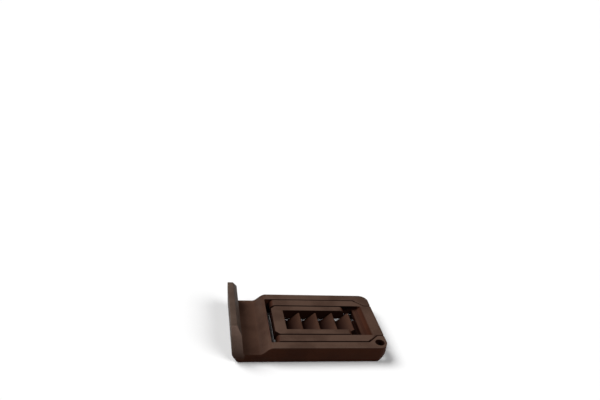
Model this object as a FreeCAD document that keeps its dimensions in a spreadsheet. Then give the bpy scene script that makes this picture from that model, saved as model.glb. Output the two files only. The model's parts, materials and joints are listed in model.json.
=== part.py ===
"""Folding phone holder: a base with a toothed tongue, a backrest and a prop, nested flat in one another.

Every piece is drawn folded, in millimetres. X runs from the lip (0) to the tail (length), Y is centred
across the holder and Z is up from the table. The finished bodies are then moved so that the origin is
at the middle of the underside.
"""
import FreeCAD, Part
import os
import Sketcher

SIZES = {
    # overall block
    "length": 62.0,
    "width": 36.0,
    "height": 7.0,
    "foot_bevel": 0.5,
    # lip that stops the phone
    "lip_height": 14.7,
    "lip_top": 2.3,
    "lip_slope_run": 1.8,
    "lip_slope_drop": 2.9,
    "lip_foot": 5.2,
    "lip_corner_inset": 2.2,
    "lip_corner_drop": 3.4,
    "lip_end_rise": 0.5,
    "lip_end_lean": 0.9,
    "lip_outer_corner": 1.5,
    "lip_lean": 1.0,
    "lip_bevel_run": 2.4,
    "lip_bevel_rise": 3.2,
    # landing and the ramp behind it
    "landing_end": 12.2,
    "landing_height": 3.8,
    "ramp_share": 0.6,
    "ramp_height": 6.0,
    "ramp_round": 2.5,
    # open bay for the two folding frames
    "bay_start": 16.1,
    "bay_gap": 2.0,
    "rail": 3.5,
    "side_gap": 0.65,
    # tail
    "tail_floor": 2.5,
    "tail_floor_reach": 5.5,
    "tail_bevel": 3.9,
    "boss_reach": 7.1,
    "boss_flat": 2.8,
    "boss_width": 7.4,
    "corner_radius": 3.8,
    "key_hole_radius": 1.8,
    "key_hole_inset_x": 3.0,
    "key_hole_inset_y": 3.2,
    # toothed tongue
    "tongue_gap": 1.2,
    "tooth_count": 4,
    "tooth_tail_inset": 11.0,
    "tooth_valley_flat": 1.3,
    "tooth_crest": 0.5,
    "tooth_top": 6.2,
    "tooth_valley": 1.4,
    # backrest
    "seat_gap": 0.3,
    "backrest_rail": 3.9,
    "plate_reach": 8.2,
    "scoop_reach": 3.6,
    "scoop_depth": 2.2,
    # prop
    "prop_rail": 2.9,
    "prop_foot": 4.9,
    "prop_foot_corner": 1.7,
    "prop_hinge_inset": 14.5,
    # cone hinges
    "cone_root": 1.6,
    "cone_tip": 0.7,
    "cone_reach": 1.9,
    "cone_clearance": 0.25,
}

# Places that several pieces share, as formulas of the sheet's cells
S = "sizes."
LENGTH = S + "length"
HEIGHT = S + "height"
HALF = f"({S}width / 2)"
BAY_HALF = f"({HALF} - {S}rail)"
BACK_HALF = f"({BAY_HALF} - {S}side_gap)"
BACK_INNER = f"({BACK_HALF} - {S}backrest_rail)"
PROP_HALF = f"({BACK_INNER} - {S}side_gap)"
PROP_INNER = f"({PROP_HALF} - {S}prop_rail)"
TONGUE_HALF = f"({PROP_INNER} - {S}side_gap)"
RAMP_KNEE = f"({S}landing_end + {S}ramp_share * ({S}bay_start - {S}landing_end))"
FRAME_START = f"({S}bay_start + {S}bay_gap)"
FRAME_BOTTOM = f"({S}tail_floor + {S}seat_gap)"
FRAME_RADIUS = f"(({HEIGHT} - {FRAME_BOTTOM}) / 2)"
HINGE_X = f"({FRAME_START} + {FRAME_RADIUS})"
HINGE_Z = f"({HEIGHT} - {FRAME_RADIUS})"
PROP_HINGE_X = f"({LENGTH} - {S}prop_hinge_inset)"
FOOT_END = f"({FRAME_START} + {S}prop_foot)"
TONGUE_START = f"({FOOT_END} + {S}tongue_gap)"
# The teeth share out the tongue's length, with a flat valley after each one but the last
TEETH_END = f"({LENGTH} - {S}tooth_tail_inset)"
TOOTH_PITCH = f"(({TEETH_END} - {TONGUE_START} + {S}tooth_valley_flat) / {S}tooth_count)"
TOOTH_END = f"({TONGUE_START} + {TOOTH_PITCH} - {S}tooth_valley_flat)"
FLOOR_START = f"({LENGTH} - {S}tail_floor_reach)"
PLATE_START = f"({LENGTH} - {S}plate_reach)"
BOSS_START = f"({LENGTH} - {S}boss_reach)"
BOSS_END = f"({LENGTH} - {S}boss_flat)"
BOSS_INNER = f"({HALF} - {S}boss_width)"
# The backrest's slanted corners keep side_gap from the bosses, measured square to the slant
SLANT_X = f"({S}boss_reach - {S}boss_flat)"
SLANT_Y = f"({S}boss_width - {S}rail)"
SLANT_SHIFT = f"({S}side_gap * (sqrt({SLANT_X} ^ 2 + {SLANT_Y} ^ 2) - {SLANT_X}) / {SLANT_Y})"
PAST = f"({LENGTH} + {S}rail)"

doc = FreeCAD.newDocument("phone_holder")
sheet = doc.addObject("Spreadsheet::Sheet", "sizes")
for row, (alias, size) in enumerate(SIZES.items(), start=1):
    sheet.set(f"A{row}", alias)
    sheet.set(f"B{row}", str(size))
    sheet.setAlias(f"B{row}", alias)
doc.recompute()


def value(formula):
    """The number that a formula of the sheet's cells gives."""
    return float(sheet.evalExpression(formula))


def new_body(label):
    body = doc.addObject("PartDesign::Body", label)
    body.Label = label
    body.setExpression("Placement.Base.x", f"-{LENGTH} / 2")
    return body


def new_sketch(body, name, role, offset=None):
    """An empty sketch on one of the body's own planes, moved by the offset's formulas."""
    plane = next(f for f in body.Origin.OriginFeatures if f.Role == role)
    sketch = body.newObject("Sketcher::SketchObject", name)
    sketch.AttachmentSupport = [(plane, "")]
    sketch.MapMode = "FlatFace"
    for axis, formula in (offset or {}).items():
        sketch.setExpression(f"AttachmentOffset.Base.{axis}", formula)
    return sketch


def place_point(sketch, curve, end, corner):
    """Ties one point of a curve to its two formulas, measured from the sketch's origin."""
    for kind, formula in zip(("DistanceX", "DistanceY"), corner):
        index = sketch.addConstraint(Sketcher.Constraint(kind, -1, 1, curve, end, value(formula)))
        sketch.setExpression(f"Constraints[{index}]", formula)


def draw_outline(sketch, corners):
    """A closed outline of straight edges through corners given as pairs of formulas."""
    points = [FreeCAD.Vector(value(u), value(v), 0) for u, v in corners]
    first = sketch.GeometryCount
    count = len(points)
    for i in range(count):
        sketch.addGeometry(Part.LineSegment(points[i], points[(i + 1) % count]), False)
    for i in range(count):
        following = first + (i + 1) % count
        sketch.addConstraint(Sketcher.Constraint("Coincident", first + i, 2, following, 1))
    for i, corner in enumerate(corners):
        place_point(sketch, first + i, 1, corner)


def draw_circle(sketch, centre, radius):
    middle = FreeCAD.Vector(value(centre[0]), value(centre[1]), 0)
    circle = sketch.addGeometry(Part.Circle(middle, FreeCAD.Vector(0, 0, 1), value(radius)), False)
    index = sketch.addConstraint(Sketcher.Constraint("Radius", circle, value(radius)))
    sketch.setExpression(f"Constraints[{index}]", radius)
    place_point(sketch, circle, 3, centre)


def both_sides(corners):
    """The same outline on the two sides of the middle line."""
    return [corners, [(u, f"-({v})") for u, v in corners]]


def pad_across(body, name, sketch, width):
    """Pads a side view evenly to both sides of the middle line."""
    pad = body.newObject("PartDesign::Pad", name)
    pad.Profile = sketch
    pad.Midplane = True
    pad.setExpression("Length", width)
    doc.recompute()
    return pad


def pad_up(body, name, sketch, rise):
    pad = body.newObject("PartDesign::Pad", name)
    pad.Profile = sketch
    pad.setExpression("Length", rise)
    doc.recompute()
    return pad


def pocket(body, name, sketch, depth=None, midplane=False, upwards=True):
    """Cuts a sketch right through, or to a depth; a cut that removes nothing is an error."""
    before = body.Shape.Volume
    cut = body.newObject("PartDesign::Pocket", name)
    cut.Profile = sketch
    cut.Reversed = upwards
    cut.Midplane = midplane
    if depth is None:
        cut.Type = "ThroughAll"
    else:
        cut.setExpression("Length", depth)
    doc.recompute()
    if not body.Shape.Volume < before:
        raise RuntimeError(f"{name} cuts nothing")
    return cut


def hinge_cones(body, name, feature, hinge_x, face, grow):
    """A cone on each side, turned about the hinge line, rooted on the face and widened by grow."""
    offset = {"x": hinge_x, "z": HINGE_Z}
    sketch = new_sketch(body, name + "_profile", "XY_Plane", offset)
    tip = f"{face} + {S}cone_reach + {grow}"
    cone = [("0", face), (f"{S}cone_root + {grow}", face), (f"{S}cone_tip + {grow}", tip), ("0", tip)]
    for side in both_sides(cone):
        draw_outline(sketch, side)
    turned = body.newObject(feature, name)
    turned.Profile = sketch
    turned.ReferenceAxis = (sketch, ["V_Axis"])
    turned.Angle = 360
    doc.recompute()
    return turned


def round_edges(body, name, radius, along, chosen):
    """Rounds the edges along one axis whose ends pass the test, before the body is moved."""
    tip = body.Tip
    names = []
    for index, edge in enumerate(tip.Shape.Edges, start=1):
        ends = [vertex.Point for vertex in edge.Vertexes]
        if len(ends) == 2 and abs((ends[1] - ends[0]).normalize().dot(along)) > 0.999 and all(map(chosen, ends)):
            names.append(f"Edge{index}")
    rounded = body.newObject("PartDesign::Fillet", name)
    rounded.Base = (tip, names)
    rounded.setExpression("Radius", radius)
    doc.recompute()
    return rounded


def make_base():
    body = new_body("base")
    # Side view: lip, landing, ramp and the flat top, with bevels under both ends
    side = new_sketch(body, "base_side", "XZ_Plane")
    draw_outline(side, [
        (f"{S}lip_lean + {S}lip_bevel_run", "0"),
        (f"{LENGTH} - {S}tail_bevel", "0"),
        (LENGTH, S + "tail_bevel"),
        (LENGTH, HEIGHT),
        (S + "bay_start", HEIGHT),
        (RAMP_KNEE, S + "ramp_height"),
        (S + "landing_end", S + "landing_height"),
        (S + "lip_foot", S + "landing_height"),
        (f"{S}lip_top + {S}lip_slope_run", f"{S}lip_height - {S}lip_slope_drop"),
        (S + "lip_top", S + "lip_height"),
        ("0", S + "lip_height"),
        (S + "lip_lean", S + "lip_bevel_rise"),
    ])
    pad_across(body, "base_block", side, S + "width")
    ramp_edges = [
        (S + "landing_end", S + "landing_height"),
        (RAMP_KNEE, S + "ramp_height"),
        (S + "bay_start", HEIGHT),
    ]
    ramp_places = [(value(x), value(z)) for x, z in ramp_edges]
    round_edges(body, "ramp_rounds", S + "ramp_round", FreeCAD.Vector(0, 1, 0), lambda point: any(
        abs(point.x - x) < 1e-4 and abs(point.z - z) < 1e-4 for x, z in ramp_places))

    # Ends of the lip: they lean in a little from just over the rails, and more at the upper corners
    ends = new_sketch(body, "lip_end_cuts", "YZ_Plane")
    knee = f"{HALF} - {S}lip_end_lean"
    inner = f"{knee} - {S}lip_corner_inset"
    beyond = f"{HALF} + {S}lip_corner_inset"
    above = f"{S}lip_height + {S}lip_corner_drop"
    for side in ("", "-"):
        draw_outline(ends, [
            (f"{side}({inner})", above),
            (f"{side}({inner})", S + "lip_height"),
            (f"{side}({knee})", f"{S}lip_height - {S}lip_corner_drop"),
            (f"{side}({HALF})", f"{HEIGHT} + {S}lip_end_rise"),
            (f"{side}({beyond})", f"{HEIGHT} + {S}lip_end_rise"),
            (f"{side}({beyond})", above),
        ])
    pocket(body, "lip_ends", ends)

    # Outer upright corners of the lip, cut off in plan
    corners = new_sketch(body, "lip_outer_corner_cuts", "XY_Plane")
    corner = S + "lip_outer_corner"
    for outline in both_sides([
        (corner, f"{HALF} + {corner}"),
        (corner, HALF),
        ("0", f"{HALF} - {corner}"),
        (f"-{corner}", f"{HALF} - {corner}"),
        (f"-{corner}", f"{HALF} + {corner}"),
    ]):
        draw_outline(corners, outline)
    pocket(body, "lip_outer_corners", corners)

    # Small bevels along the foot of both long sides
    feet = new_sketch(body, "foot_bevel_cuts", "YZ_Plane")
    for side in ("", "-"):
        draw_outline(feet, [
            (f"{side}({HALF})", S + "foot_bevel"),
            (f"{side}({HALF} - {S}foot_bevel)", "0"),
            (f"{side}({HALF} - {S}foot_bevel)", f"-{S}foot_bevel"),
            (f"{side}({HALF} + {S}foot_bevel)", f"-{S}foot_bevel"),
            (f"{side}({HALF} + {S}foot_bevel)", S + "foot_bevel"),
        ])
    pocket(body, "foot_bevels", feet)

    # Bay: its upper part takes both frames, and under them it is open up to the tail floor
    seat = new_sketch(body, "bay_plan", "XY_Plane", {"z": S + "tail_floor"})
    draw_outline(seat, [
        (S + "bay_start", f"-{BAY_HALF}"),
        (BOSS_START, f"-{BAY_HALF}"),
        (BOSS_END, f"-{BOSS_INNER}"),
        (PAST, f"-{BOSS_INNER}"),
        (PAST, BOSS_INNER),
        (BOSS_END, BOSS_INNER),
        (BOSS_START, BAY_HALF),
        (S + "bay_start", BAY_HALF),
    ])
    pocket(body, "bay", seat)
    under = new_sketch(body, "underside_plan", "XY_Plane")
    draw_outline(under, [
        (S + "bay_start", f"-{BAY_HALF}"),
        (BOSS_START, f"-{BAY_HALF}"),
        (FLOOR_START, f"-{BACK_INNER}"),
        (FLOOR_START, BACK_INNER),
        (BOSS_START, BAY_HALF),
        (S + "bay_start", BAY_HALF),
    ])
    pocket(body, "underside_opening", under, S + "tail_floor")

    # Tongue that reaches back from the tail floor, and the teeth that hold the prop's foot
    tongue = new_sketch(body, "tongue_side", "XZ_Plane")
    draw_outline(tongue, [
        (TONGUE_START, "0"),
        (FLOOR_START, "0"),
        (FLOOR_START, S + "tail_floor"),
        (f"{PLATE_START} - {S}side_gap", S + "tail_floor"),
        (TEETH_END, S + "tooth_valley"),
        (TONGUE_START, S + "tooth_valley"),
    ])
    pad_across(body, "tongue", tongue, f"2 * {TONGUE_HALF}")
    tooth = new_sketch(body, "tooth_side", "XZ_Plane")
    draw_outline(tooth, [
        (TONGUE_START, S + "tooth_valley"),
        (TONGUE_START, f"{S}tooth_valley / 2"),
        (TOOTH_END, f"{S}tooth_valley / 2"),
        (TOOTH_END, S + "tooth_top"),
        (f"{TOOTH_END} - {S}tooth_crest", S + "tooth_top"),
    ])
    first_tooth = pad_across(body, "tooth", tooth, f"2 * {TONGUE_HALF}")
    teeth = body.newObject("PartDesign::LinearPattern", "teeth")
    teeth.Originals = [first_tooth]
    teeth.Direction = (tooth, ["H_Axis"])
    teeth.setExpression("Length", f"{TEETH_END} - {TOOTH_END}")
    teeth.setExpression("Occurrences", S + "tooth_count")
    body.Tip = teeth
    doc.recompute()

    # Key hole through one tail boss
    hole = new_sketch(body, "key_hole_plan", "XY_Plane")
    centre = (f"{LENGTH} - {S}key_hole_inset_x", f"-({HALF} - {S}key_hole_inset_y)")
    draw_circle(hole, centre, S + "key_hole_radius")
    pocket(body, "key_hole", hole)
    hinge_cones(body, "backrest_sockets", "PartDesign::Groove", HINGE_X, BACK_HALF, S + "cone_clearance")
    # Upright edges at the tail, which the bosses end in
    round_edges(body, "tail_corners", S + "corner_radius", FreeCAD.Vector(0, 0, 1), lambda point: (
        abs(point.x - value(LENGTH)) < 1e-4 and abs(abs(point.y) - value(HALF)) < 1e-4))
    return body


def make_backrest():
    body = new_body("backrest")
    plan = new_sketch(body, "backrest_plan", "XY_Plane", {"z": FRAME_BOTTOM})
    slant_start = f"{BOSS_START} - {SLANT_SHIFT}"
    slant_end = f"{BOSS_END} - {SLANT_SHIFT}"
    tail_half = f"({BOSS_INNER} - {S}side_gap)"
    draw_outline(plan, [
        (HINGE_X, f"-{BACK_HALF}"),
        (slant_start, f"-{BACK_HALF}"),
        (slant_end, f"-{tail_half}"),
        (LENGTH, f"-{tail_half}"),
        (LENGTH, tail_half),
        (slant_end, tail_half),
        (slant_start, BACK_HALF),
        (HINGE_X, BACK_HALF),
    ])
    pad_up(body, "backrest_plate", plan, f"{HEIGHT} - {FRAME_BOTTOM}")
    knuckle = new_sketch(body, "backrest_knuckle_side", "XZ_Plane")
    draw_circle(knuckle, (HINGE_X, HINGE_Z), FRAME_RADIUS)
    pad_across(body, "backrest_knuckle", knuckle, f"2 * {BACK_HALF}")

    # The prop lies between the rails, which are open towards the lip
    window = new_sketch(body, "backrest_window_plan", "XY_Plane")
    draw_outline(window, [
        ("0", f"-{BACK_INNER}"),
        (PLATE_START, f"-{BACK_INNER}"),
        (PLATE_START, BACK_INNER),
        ("0", BACK_INNER),
    ])
    pocket(body, "backrest_window", window)
    # Round hollow, deepest at the plate's inner edge, that rises to the top over scoop_reach
    scoop = new_sketch(body, "finger_scoop_side", "XZ_Plane")
    scoop_radius = f"(({S}scoop_reach ^ 2 + {S}scoop_depth ^ 2) / (2 * {S}scoop_depth))"
    draw_circle(scoop, (PLATE_START, f"{HEIGHT} - {S}scoop_depth + {scoop_radius}"), scoop_radius)
    pocket(body, "finger_scoop", scoop, f"2 * {BACK_INNER}", midplane=True)
    hinge_cones(body, "backrest_cones", "PartDesign::Revolution", HINGE_X, BACK_HALF, "0")
    hinge_cones(body, "prop_sockets", "PartDesign::Groove", PROP_HINGE_X, PROP_HALF, S + "cone_clearance")
    return body


def make_prop():
    body = new_body("prop")
    plan = new_sketch(body, "prop_plan", "XY_Plane", {"z": FRAME_BOTTOM})
    corner_x = f"{FRAME_START} + {S}prop_foot_corner"
    corner_y = f"({PROP_HALF} - {S}prop_foot_corner)"
    draw_outline(plan, [
        (FRAME_START, f"-{corner_y}"),
        (corner_x, f"-{PROP_HALF}"),
        (PROP_HINGE_X, f"-{PROP_HALF}"),
        (PROP_HINGE_X, PROP_HALF),
        (corner_x, PROP_HALF),
        (FRAME_START, corner_y),
    ])
    pad_up(body, "prop_plate", plan, f"{HEIGHT} - {FRAME_BOTTOM}")
    knuckle = new_sketch(body, "prop_knuckle_side", "XZ_Plane")
    draw_circle(knuckle, (PROP_HINGE_X, HINGE_Z), FRAME_RADIUS)
    pad_across(body, "prop_knuckle", knuckle, f"2 * {PROP_HALF}")

    # The toothed tongue lies between the rails, which are open towards the tail
    window = new_sketch(body, "prop_window_plan", "XY_Plane")
    draw_outline(window, [
        (FOOT_END, f"-{PROP_INNER}"),
        (PAST, f"-{PROP_INNER}"),
        (PAST, PROP_INNER),
        (FOOT_END, PROP_INNER),
    ])
    pocket(body, "prop_window", window)
    hinge_cones(body, "prop_cones", "PartDesign::Revolution", PROP_HINGE_X, PROP_HALF, "0")
    return body


pieces = [make_base(), make_backrest(), make_prop()]
doc.recompute()
for item in doc.Objects:
    if {"Invalid", "Error"} & set(item.State):
        raise RuntimeError(f"{item.Name} is {item.State}")
os.makedirs("parts", exist_ok=True)
for piece in pieces:
    shape = piece.Shape
    if shape.isNull() or not shape.isValid() or len(shape.Solids) != 1:
        raise RuntimeError(f"{piece.Label} has no single valid solid")
    print(piece.Label, round(shape.Volume, 1), "mm3", shape.BoundBox)
    shape.exportStep(f"parts/{piece.Label}.step")
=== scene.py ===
"""Looks of the folding phone holder: dark brown printed plastic on a plain white table.

Lengths are metres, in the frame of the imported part: +X from the lip to the tail, +Y away from the key
hole, +Z up from the table. The three pieces are the CAD solids with their edges broken by a small round.
"""

import json
import math

import bmesh
import bpy
from mathutils import Matrix, Vector


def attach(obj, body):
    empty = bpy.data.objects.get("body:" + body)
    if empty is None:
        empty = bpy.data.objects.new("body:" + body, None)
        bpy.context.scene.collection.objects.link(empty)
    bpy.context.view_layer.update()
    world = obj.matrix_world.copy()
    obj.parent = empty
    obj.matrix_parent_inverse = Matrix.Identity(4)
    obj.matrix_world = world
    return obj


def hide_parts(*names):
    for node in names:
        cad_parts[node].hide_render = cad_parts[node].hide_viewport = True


MM = 0.001

# Each piece's node and body, where its mottle starts, and how far up its faces must look at least to be
# painted as lit
PIECES = (
    ("base", (0, 0, 0), 0.50),
    ("backrest", (0.13, 0.05, 0), 0.90),
    ("prop", (0.31, 0.22, 0.1), 0.90),
)

# The round that breaks each sharp edge, and the reach of the hinge cones round their axes, where edges stay
EDGE_ROUND = 0.22 * MM
ROUND_SEGMENTS = 3
SHARP_ANGLE = math.radians(32)
CONE_REACH = 1.95 * MM

# A CAD mesh is merged over this distance, and faces that turn by less than this angle become one
MERGE_DISTANCE = 1e-7
FLAT_ANGLE = math.radians(0.4)

# Printing: height of one layer, width of one bead of plastic, and how far and how fast both waver
LAYER_HEIGHT = 0.2 * MM
BEAD_WIDTH = 0.45 * MM
PRINT_WAVER = 0.05 * MM
WAVER_SCALE = 260.0
DIAGONAL = 0.7071

# Upright part of the normal from which a face is printed as level rows, not as layers
LEVEL_FACES = (0.985, 0.998)

# Mottle: scales of the slow tone and of the fine grain, and the spread of noise that each is stretched from
TONE_SCALE = 95.0
TONE_SPREAD = (0.32, 0.68)
GRAIN_SCALE = 2600.0
GRAIN_SPREAD = (0.3, 0.7)

# Rubbed edges: their radius, the turn of the normal that shows them, and the chips that break them up
WEAR_RADIUS = 0.45 * MM
WEAR_TURN = (0.80, 0.99)
WEAR_SHARE = 0.28
CHIP_SCALE = 700.0
CHIP_SPREAD = (0.38, 0.62)
CHIP_LEAST = 0.25

# Dark chocolate brown: painted shade in the bay and key hole, also the dark end of the mottled tone and of
# the print's grooves;
# a shaded copy on walls and low faces; a lit copy on raised faces that look up; a paler copy for painted
# sheen on tops, lip and landing and for rubbed edges; a painted highlight on the lip's ends
BROWN_SHADE_AND_DARK_TONE = (0.017, 0.0052, 0.0028, 1)
BROWN_SHADED = (0.060, 0.0185, 0.0085, 1)
BROWN_LIT = (0.084, 0.0385, 0.0240, 1)
BROWN_WEAR_AND_SHEEN = (0.104, 0.0710, 0.0545, 1)
BROWN_LIP_END_HIGHLIGHT = (0.275, 0.1820, 0.1430, 1)

# Tone of the brown: share of the grain in it, its range, and how much darker a groove is
GRAIN_IN_TONE = 0.35
TONE_RANGE = (0.60, 1.0)
GROOVE_DARKER = 0.35

# Surface of the plastic: gloss, roughness, how much smoother rubbed edges are, and the relief of the print
GLOSS = 0.06
ROUGHNESS = (0.50, 0.62)
RUBBED_SMOOTHER = 0.08
RELIEF_STRENGTH = 0.5
RELIEF_DEPTH = 0.03 * MM
GRAIN_IN_RELIEF = 0.25

# Heights over which the brown is painted lighter, as if lit: the raised faces get the lit copy, the tops and
# the lip a painted sheen
LIT_FACE_HEIGHTS = (1.8 * MM, 4.8 * MM)
TOP_SHEEN_HEIGHTS = (6.4 * MM, 7.6 * MM)
LIP_SHEEN_HEIGHTS = (0.5 * MM, 8.5 * MM)

# Along the holder: where the lip ends and the landing starts, where the ramp ends, and the share of painted
# sheen on the landing
LIP_END = (-25.6 * MM, -25.0 * MM)
RAMP_END = (-16.4 * MM, -14.4 * MM)
LANDING_SHEEN_SHARE = 0.26

# Widths of the steps in the normal: past the least upward face, and to the sideways ends of the lip
UPWARD_STEP = 0.08
SIDEWAYS = (0.3, 0.7)

# The bay that holds the folded frames: its ends, its half width, the heights over which its painted shade
# fades out, the upright part of the normal below which a face is a wall in it, and how wide its edge fades
BAY_ENDS = (-14.9 * MM, 25.0 * MM)
BAY_HALF_WIDTH = 14.5 * MM
BAY_SHADE_HEIGHTS = (2.8 * MM, 7.1 * MM)
BAY_WALLS = (0.35, 0.85)
BAY_EDGE = 0.3 * MM

# Key hole in the tail's corner: its place along and across, its radius, and how far past it the painted shade
# fades
KEY_HOLE = (28.0 * MM, -14.8 * MM)
KEY_HOLE_RADIUS = 1.8 * MM
KEY_HOLE_FADE = (0.02 * MM, 0.15 * MM)

# White table: half its side, its colour as the camera sees it, and as it throws light back at the holder
TABLE_HALF = 30.0
TABLE_SEEN = (0.99, 0.99, 0.99, 1)
TABLE_BOUNCE = (0.10, 0.10, 0.10, 1)
TABLE_ROUGHNESS = 0.9

# Light: each lamp's strength, the way it shines, and how wide it looks in degrees, and the room's own light
LAMPS = (
    ("overhead_lamp", 2.75, (0.72, -0.35, -1.0), 36),
    ("front_lamp", 1.40, (-0.58, 0.60, -0.85), 36),
)
ROOM_LIGHT = 0.03

# Camera, found from the holder's corners: its place, its turns, and its lens and sensor in millimetres
CAMERA_PLACE = (-49.333 * MM, -188.753 * MM, 142.427 * MM)
CAMERA_YAW = math.radians(12.240)
CAMERA_PITCH = math.radians(23.133)
CAMERA_ROLL = math.radians(7.682)
CAMERA_LENS = 34.248
CAMERA_SENSOR = 36.0
CAMERA_CLIP = (0.01, 100.0)


def group_with_sockets(name, inputs, outputs):
    """An empty shader node group; inputs are (name, socket type, default) and outputs (name, socket type)."""
    group = bpy.data.node_groups.new(name, "ShaderNodeTree")
    for label, kind, default in inputs:
        socket = group.interface.new_socket(label, in_out="INPUT", socket_type=kind)
        socket.default_value = default
    for label, kind in outputs:
        group.interface.new_socket(label, in_out="OUTPUT", socket_type=kind)
    return group, group.nodes.new("NodeGroupInput"), group.nodes.new("NodeGroupOutput")


def calculate(tree, operation, *values):
    """A Math node; each value is a number or another node's output."""
    node = tree.nodes.new("ShaderNodeMath")
    node.operation = operation
    for socket, value in zip(node.inputs, values):
        if isinstance(value, (int, float)):
            socket.default_value = value
        else:
            tree.links.new(value, socket)
    return node.outputs[0]


def remap(tree, value, low, high, to_low, to_high):
    """A Map Range node, clamped, with a smooth step between its two ends."""
    node = tree.nodes.new("ShaderNodeMapRange")
    node.interpolation_type = "SMOOTHSTEP"
    for label, number in (("From Min", low), ("From Max", high), ("To Min", to_low), ("To Max", to_high)):
        node.inputs[label].default_value = number
    tree.links.new(value, node.inputs["Value"])
    return node.outputs["Result"]


def noise(tree, coordinates, scale, detail, roughness=0.5):
    """A Noise Texture node's value at the coordinates, mostly between 0.3 and 0.7."""
    node = tree.nodes.new("ShaderNodeTexNoise")
    node.inputs["Scale"].default_value = scale
    node.inputs["Detail"].default_value = detail
    node.inputs["Roughness"].default_value = roughness
    tree.links.new(coordinates, node.inputs["Vector"])
    return node.outputs["Fac"]


def place_and_facing(tree):
    """The place on the piece, whole and split into X, Y and Z, and the split normal of the face there."""
    where = tree.nodes.new("ShaderNodeTexCoord")
    place = tree.nodes.new("ShaderNodeSeparateXYZ")
    tree.links.new(where.outputs["Object"], place.inputs[0])
    facing = tree.nodes.new("ShaderNodeSeparateXYZ")
    tree.links.new(where.outputs["Normal"], facing.inputs[0])
    return where.outputs["Object"], place.outputs, facing.outputs


def bead_profile(tree, distance, pitch):
    """Height over rows of round beads: 1 on the middle of a bead, 0 in the groove between two.

    With f the fraction of the pitch, from 0 to 1, the height is 1 - (2 f - 1) squared.
    """
    turns = calculate(tree, "DIVIDE", distance, pitch)
    fraction = calculate(tree, "FRACT", turns)
    centred = calculate(tree, "MULTIPLY_ADD", fraction, 2.0, -1.0)
    square = calculate(tree, "MULTIPLY", centred, centred)
    return calculate(tree, "SUBTRACT", 1.0, square)


def print_lines_group():
    """Layer lines on walls and slopes, and slanting rows of beads on level faces.

    Layers follow the height and rows follow X plus Y, both with the same slow waver. The groove is a smooth
    step from the foot of a bead to half its height.
    """
    group, given, result = group_with_sockets(
        "print_lines",
        [("Layer Height", "NodeSocketFloat", LAYER_HEIGHT), ("Bead Width", "NodeSocketFloat", BEAD_WIDTH)],
        [("Height", "NodeSocketFloat"), ("Groove", "NodeSocketFloat")])
    whole, place, facing = place_and_facing(group)
    drift = calculate(group, "MULTIPLY", noise(group, whole, WAVER_SCALE, 1.0), PRINT_WAVER)
    level = calculate(group, "ADD", place["Z"], drift)
    layers = bead_profile(group, level, given.outputs["Layer Height"])

    across = calculate(group, "ADD", place["X"], place["Y"])
    across = calculate(group, "MULTIPLY_ADD", across, DIAGONAL, drift)
    rows = bead_profile(group, across, given.outputs["Bead Width"])

    upright = calculate(group, "ABSOLUTE", facing["Z"])
    height = group.nodes.new("ShaderNodeMix")
    group.links.new(remap(group, upright, *LEVEL_FACES, 0.0, 1.0), height.inputs["Factor"])
    group.links.new(layers, height.inputs["A"])
    group.links.new(rows, height.inputs["B"])
    group.links.new(height.outputs["Result"], result.inputs["Height"])
    group.links.new(remap(group, height.outputs["Result"], 0.0, 0.5, 1.0, 0.0), result.inputs["Groove"])
    return group


def plastic_mottle_group():
    """Slow drift of tone from the filament and fine grain of the matte surface, both 0 to 1."""
    group, given, result = group_with_sockets(
        "plastic_mottle", [("Shift", "NodeSocketVector", (0, 0, 0))],
        [("Tone", "NodeSocketFloat"), ("Grain", "NodeSocketFloat")])
    where = group.nodes.new("ShaderNodeTexCoord")
    moved = group.nodes.new("ShaderNodeVectorMath")
    group.links.new(where.outputs["Object"], moved.inputs[0])
    group.links.new(given.outputs["Shift"], moved.inputs[1])
    slow = noise(group, moved.outputs[0], TONE_SCALE, 3.0)
    fine = noise(group, moved.outputs[0], GRAIN_SCALE, 2.0, 0.6)
    group.links.new(remap(group, slow, *TONE_SPREAD, 0.0, 1.0), result.inputs["Tone"])
    group.links.new(remap(group, fine, *GRAIN_SPREAD, 0.0, 1.0), result.inputs["Grain"])
    return group


def edge_wear_group():
    """Mask of rubbed edges: where a normal rounded over the radius turns from the face's own.

    The mask is a smooth step in the dot product of the two normals, times a noise that breaks it up.
    """
    group, given, result = group_with_sockets(
        "edge_wear", [("Radius", "NodeSocketFloat", WEAR_RADIUS)], [("Rubbed", "NodeSocketFloat")])
    rounded = group.nodes.new("ShaderNodeBevel")
    rounded.samples = 4
    group.links.new(given.outputs["Radius"], rounded.inputs["Radius"])
    face = group.nodes.new("ShaderNodeNewGeometry")
    dot = group.nodes.new("ShaderNodeVectorMath")
    dot.operation = "DOT_PRODUCT"
    group.links.new(rounded.outputs[0], dot.inputs[0])
    group.links.new(face.outputs["Normal"], dot.inputs[1])
    turned = remap(group, dot.outputs["Value"], *WEAR_TURN, 1.0, 0.0)
    where = group.nodes.new("ShaderNodeTexCoord")
    chips = noise(group, where.outputs["Object"], CHIP_SCALE, 3.0, 0.65)
    broken = remap(group, chips, *CHIP_SPREAD, CHIP_LEAST, 1.0)
    group.links.new(calculate(group, "MULTIPLY", turned, broken), result.inputs["Rubbed"])
    return group


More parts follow.
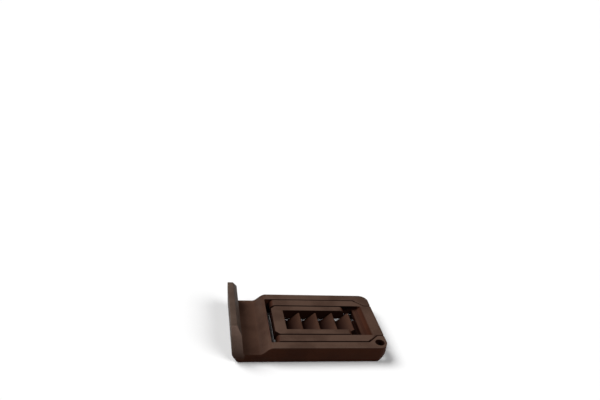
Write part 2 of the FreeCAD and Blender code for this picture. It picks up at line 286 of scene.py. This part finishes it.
def painted_light_faces_group():
    """Masks of painted light and shade: raised faces that look up, the palest places, and the lip's two ends.

    The height and the upward part of the normal each give a smooth step, and their product is the mask of
    the faces painted as lit; the rest keep the shaded copy of the brown. The palest places, painted with a
    sheen, are the tops, by a short step in height, the lip, by a long one, and a share on the landing and the
    ramp. The lip's ends, painted with a highlight, are where the normal there turns sideways.
    """
    group, given, result = group_with_sockets(
        "painted_light_faces", [("Least Upward", "NodeSocketFloat", 0.5)],
        [("Faces", "NodeSocketFloat"), ("Palest", "NodeSocketFloat"), ("Lip Ends", "NodeSocketFloat")])
    _, place, facing = place_and_facing(group)
    raised = remap(group, place["Z"], *LIT_FACE_HEIGHTS, 0.0, 1.0)
    above_least = calculate(group, "SUBTRACT", facing["Z"], given.outputs["Least Upward"])
    upward = remap(group, above_least, 0.0, UPWARD_STEP, 0.0, 1.0)
    group.links.new(calculate(group, "MULTIPLY", raised, upward), result.inputs["Faces"])

    tops = remap(group, place["Z"], *TOP_SHEEN_HEIGHTS, 0.0, 1.0)
    lip_more = calculate(group, "SUBTRACT", remap(group, place["Z"], *LIP_SHEEN_HEIGHTS, 0.0, 1.0), tops)
    on_lip = remap(group, place["X"], *LIP_END, 1.0, 0.0)
    tops_and_lip = calculate(group, "MULTIPLY_ADD", on_lip, lip_more, tops)
    on_landing = remap(group, place["X"], *RAMP_END, LANDING_SHEEN_SHARE, 0.0)
    landing = calculate(group, "MULTIPLY", on_landing, upward)
    group.links.new(calculate(group, "MAXIMUM", tops_and_lip, landing), result.inputs["Palest"])

    sideways = remap(group, calculate(group, "ABSOLUTE", facing["Y"]), *SIDEWAYS, 0.0, 1.0)
    group.links.new(calculate(group, "MULTIPLY", tops_and_lip, sideways), result.inputs["Lip Ends"])
    return group


def hollow_shade_group():
    """Mask of painted shade: low down in the bay, and on the wall of the key hole.

    The bay's mask is the larger of a smooth step downwards and one from upward faces to walls, times a step
    in from each end and one in from both sides. The key hole's is a step in the distance from its axis.
    """
    group, given, result = group_with_sockets(
        "hollow_shade", [("Edge", "NodeSocketFloat", BAY_EDGE)], [("Painted Shade", "NodeSocketFloat")])
    _, place, facing = place_and_facing(group)
    walls = remap(group, facing["Z"], *BAY_WALLS, 1.0, 0.0)
    bay = calculate(group, "MAXIMUM", walls, remap(group, place["Z"], *BAY_SHADE_HEIGHTS, 1.0, 0.0))
    across = calculate(group, "ABSOLUTE", place["Y"])
    for inwards in (calculate(group, "SUBTRACT", place["X"], BAY_ENDS[0]),
                    calculate(group, "SUBTRACT", BAY_ENDS[1], place["X"]),
                    calculate(group, "SUBTRACT", BAY_HALF_WIDTH, across)):
        edges = calculate(group, "DIVIDE", inwards, given.outputs["Edge"])
        bay = calculate(group, "MULTIPLY", bay, remap(group, edges, -0.5, 0.5, 0.0, 1.0))

    run = calculate(group, "SUBTRACT", place["X"], KEY_HOLE[0])
    side = calculate(group, "SUBTRACT", place["Y"], KEY_HOLE[1])
    square = calculate(group, "MULTIPLY_ADD", side, side, calculate(group, "MULTIPLY", run, run))
    past_wall = [KEY_HOLE_RADIUS + fade for fade in KEY_HOLE_FADE]
    hole = remap(group, calculate(group, "SQRT", square), *past_wall, 1.0, 0.0)
    group.links.new(calculate(group, "MAXIMUM", bay, hole), result.inputs["Painted Shade"])
    return group


def blend_colour(tree, factor, first, second):
    """A Mix node between two colours, each a constant or another node's output.

    Set to colours, the node takes them in its sockets 6 and 7 and gives the result in its output 2.
    """
    node = tree.nodes.new("ShaderNodeMix")
    node.data_type = "RGBA"
    tree.links.new(factor, node.inputs[0])
    for socket, colour in ((node.inputs[6], first), (node.inputs[7], second)):
        if isinstance(colour, tuple):
            socket.default_value = colour
        else:
            tree.links.new(colour, socket)
    return node.outputs[2]


def brown_print(name, effects, shift, least_upward):
    """Matte brown printed plastic: print lines, mottled tone and rubbed edges, with painted light and shade.
    """
    material = bpy.data.materials.new(name)
    material.use_nodes = True
    tree = material.node_tree
    shader = tree.nodes["Principled BSDF"]
    shader.inputs["Specular IOR Level"].default_value = GLOSS

    def effect(label):
        node = tree.nodes.new("ShaderNodeGroup")
        node.node_tree = effects[label]
        return node

    lines = effect("print_lines")
    mottle = effect("plastic_mottle")
    mottle.inputs["Shift"].default_value = shift
    wear = effect("edge_wear")
    painted_light = effect("painted_light_faces")
    painted_light.inputs["Least Upward"].default_value = least_upward
    painted_shade = effect("hollow_shade").outputs["Painted Shade"]

    tone = calculate(tree, "MULTIPLY_ADD", mottle.outputs["Grain"], GRAIN_IN_TONE, mottle.outputs["Tone"])
    tone = remap(tree, tone, 0.0, 1.0 + GRAIN_IN_TONE, *TONE_RANGE)
    tone = calculate(tree, "MULTIPLY_ADD", lines.outputs["Groove"], -GROOVE_DARKER, tone)
    # Painted light and shade: the shaded copy of the brown on walls and low faces, the lit copy on raised
    # faces that look up
    face = blend_colour(tree, painted_light.outputs["Faces"], BROWN_SHADED, BROWN_LIT)
    # Painted sheen on the tops, the lip and part of the landing
    face = blend_colour(tree, painted_light.outputs["Palest"], face, BROWN_WEAR_AND_SHEEN)
    # Painted highlight on the lip's two ends
    face = blend_colour(tree, painted_light.outputs["Lip Ends"], face, BROWN_LIP_END_HIGHLIGHT)
    # Painted shade low in the bay and in the key hole
    face = blend_colour(tree, painted_shade, face, BROWN_SHADE_AND_DARK_TONE)
    colour = blend_colour(tree, tone, BROWN_SHADE_AND_DARK_TONE, face)
    # Edges rub paler with wear, except where the shade is painted
    outside_painted_shade = calculate(tree, "SUBTRACT", 1.0, painted_shade)
    rubbed = calculate(tree, "MULTIPLY", outside_painted_shade, wear.outputs["Rubbed"])
    rubbed = calculate(tree, "MULTIPLY", rubbed, WEAR_SHARE)
    colour = blend_colour(tree, rubbed, colour, BROWN_WEAR_AND_SHEEN)
    tree.links.new(colour, shader.inputs["Base Color"])

    rough = remap(tree, mottle.outputs["Grain"], 0.0, 1.0, *ROUGHNESS)
    rough = calculate(tree, "MULTIPLY_ADD", wear.outputs["Rubbed"], -RUBBED_SMOOTHER, rough)
    tree.links.new(rough, shader.inputs["Roughness"])

    relief = tree.nodes.new("ShaderNodeBump")
    relief.inputs["Strength"].default_value = RELIEF_STRENGTH
    relief.inputs["Distance"].default_value = RELIEF_DEPTH
    height = lines.outputs["Height"]
    height = calculate(tree, "MULTIPLY_ADD", mottle.outputs["Grain"], GRAIN_IN_RELIEF, height)
    tree.links.new(height, relief.inputs["Height"])
    tree.links.new(relief.outputs["Normal"], shader.inputs["Normal"])
    return material


def is_rounded(edge, axes):
    """Whether an edge gets a round: it is sharp, and not on a hinge cone or in its socket."""
    on_cone = any(all(math.hypot(vert.co.x - x, vert.co.z - z) < CONE_REACH for vert in edge.verts)
                  for x, z in axes)
    return edge.calc_face_angle(0.0) > SHARP_ANGLE and not on_cone


def soften(node, name, body, material, axes):
    """Makes a merged copy of a CAD solid, breaks its sharp edges by a small round, and shows it instead."""
    form = bmesh.new()
    form.from_mesh(node.data)
    bmesh.ops.remove_doubles(form, verts=form.verts, dist=MERGE_DISTANCE)
    bmesh.ops.dissolve_limit(form, angle_limit=FLAT_ANGLE, verts=form.verts, edges=form.edges)
    weight = form.edges.layers.float.new("bevel_weight_edge")
    for edge in form.edges:
        edge[weight] = 1.0 if is_rounded(edge, axes) else 0.0
    mesh = bpy.data.meshes.new(name)
    form.to_mesh(mesh)
    form.free()
    mesh.polygons.foreach_set("use_smooth", [True] * len(mesh.polygons))
    mesh.materials.clear()
    mesh.materials.append(material)
    piece = bpy.data.objects.new(name, mesh)
    bpy.context.scene.collection.objects.link(piece)
    edges = piece.modifiers.new("edge_round", "BEVEL")
    edges.width = EDGE_ROUND
    edges.segments = ROUND_SEGMENTS
    edges.limit_method = "WEIGHT"
    edges.use_clamp_overlap = False
    edges.harden_normals = True
    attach(piece, body)
    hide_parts(node.name)


def white_table():
    """A wide white table that keeps the shadow; the holder itself gets the light of a greyer one."""
    mesh = bpy.data.meshes.new("table_top")
    corners = [(x * TABLE_HALF, y * TABLE_HALF, 0) for x, y in ((-1, -1), (1, -1), (1, 1), (-1, 1))]
    mesh.from_pydata(corners, [], [(0, 1, 2, 3)])
    floor = bpy.data.objects.new("table_top", mesh)
    bpy.context.scene.collection.objects.link(floor)
    material = bpy.data.materials.new("white_table")
    material.use_nodes = True
    tree = material.node_tree
    shader = tree.nodes["Principled BSDF"]
    shader.inputs["Roughness"].default_value = TABLE_ROUGHNESS
    shader.inputs["Specular IOR Level"].default_value = 0.0
    path = tree.nodes.new("ShaderNodeLightPath")
    seen = calculate(tree, "MAXIMUM", path.outputs["Is Camera Ray"], path.outputs["Is Glossy Ray"])
    seen = calculate(tree, "MAXIMUM", seen, path.outputs["Is Transmission Ray"])
    tree.links.new(blend_colour(tree, seen, TABLE_BOUNCE, TABLE_SEEN), shader.inputs["Base Color"])
    mesh.materials.append(material)


def soft_lamp(name, strength, towards, width):
    """A soft lamp far away, shining along a direction."""
    lamp = bpy.data.lights.new(name, "SUN")
    lamp.energy = strength
    lamp.angle = math.radians(width)
    holder = bpy.data.objects.new(name, lamp)
    holder.rotation_mode = "QUATERNION"
    holder.rotation_quaternion = Vector(towards).to_track_quat("-Z", "Y")
    bpy.context.scene.collection.objects.link(holder)


def studio_light():
    """Soft light from above, behind and the lip's side, less from the front, and a room that looks white."""
    for lamp in LAMPS:
        soft_lamp(*lamp)
    world = bpy.data.worlds.new("pale_room")
    world.use_nodes = True
    tree = world.node_tree
    background = tree.nodes["Background"]
    background.inputs["Color"].default_value = (1, 1, 1, 1)
    path = tree.nodes.new("ShaderNodeLightPath")
    seen = calculate(tree, "MAXIMUM", path.outputs["Is Camera Ray"], path.outputs["Is Transmission Ray"])
    strength = calculate(tree, "MULTIPLY_ADD", seen, 1.0 - ROOM_LIGHT, ROOM_LIGHT)
    tree.links.new(strength, background.inputs["Strength"])
    bpy.context.scene.world = world


def photo_camera():
    """Camera at the photograph's viewing angle.

    Yaw turns it from +Y towards +X, pitch tips it down, and roll then turns it about its own line of sight.
    """
    ahead = Vector((math.sin(CAMERA_YAW) * math.cos(CAMERA_PITCH),
                    math.cos(CAMERA_YAW) * math.cos(CAMERA_PITCH),
                    -math.sin(CAMERA_PITCH)))
    level = Vector((math.cos(CAMERA_YAW), -math.sin(CAMERA_YAW), 0))
    above = level.cross(ahead)
    right = math.cos(CAMERA_ROLL) * level + math.sin(CAMERA_ROLL) * above
    up = math.cos(CAMERA_ROLL) * above - math.sin(CAMERA_ROLL) * level
    data = bpy.data.cameras.new("photo_camera")
    data.sensor_width = CAMERA_SENSOR
    data.lens = CAMERA_LENS
    data.clip_start, data.clip_end = CAMERA_CLIP
    data.dof.use_dof = False
    camera = bpy.data.objects.new("photo_camera", data)
    turn = Matrix((right, up, -ahead)).transposed().to_4x4()
    camera.matrix_world = Matrix.Translation(CAMERA_PLACE) @ turn
    bpy.context.scene.collection.objects.link(camera)
    bpy.context.scene.camera = camera


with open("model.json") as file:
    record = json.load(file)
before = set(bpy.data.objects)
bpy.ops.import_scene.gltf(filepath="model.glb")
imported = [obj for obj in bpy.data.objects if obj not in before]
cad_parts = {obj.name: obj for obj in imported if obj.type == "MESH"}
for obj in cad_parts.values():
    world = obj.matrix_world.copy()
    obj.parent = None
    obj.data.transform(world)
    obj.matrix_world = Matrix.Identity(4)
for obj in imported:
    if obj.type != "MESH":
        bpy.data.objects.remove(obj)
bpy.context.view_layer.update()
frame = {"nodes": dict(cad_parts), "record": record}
bpy.context.scene.view_settings.view_transform = "Standard"

hinges = [joint["pos_m"] for joint in frame["record"]["behaviour"]["joints"]]
hinge_axes = [(place[0], place[2]) for place in hinges]
finishes = {"print_lines": print_lines_group(), "plastic_mottle": plastic_mottle_group(),
            "edge_wear": edge_wear_group(), "painted_light_faces": painted_light_faces_group(),
            "hollow_shade": hollow_shade_group()}
for node_name, shift, least_upward in PIECES:
    plastic = brown_print(f"brown_print_{node_name}", finishes, shift, least_upward)
    soften(frame["nodes"][node_name], f"printed_{node_name}", node_name, plastic, hinge_axes)

white_table()
studio_light()
photo_camera()
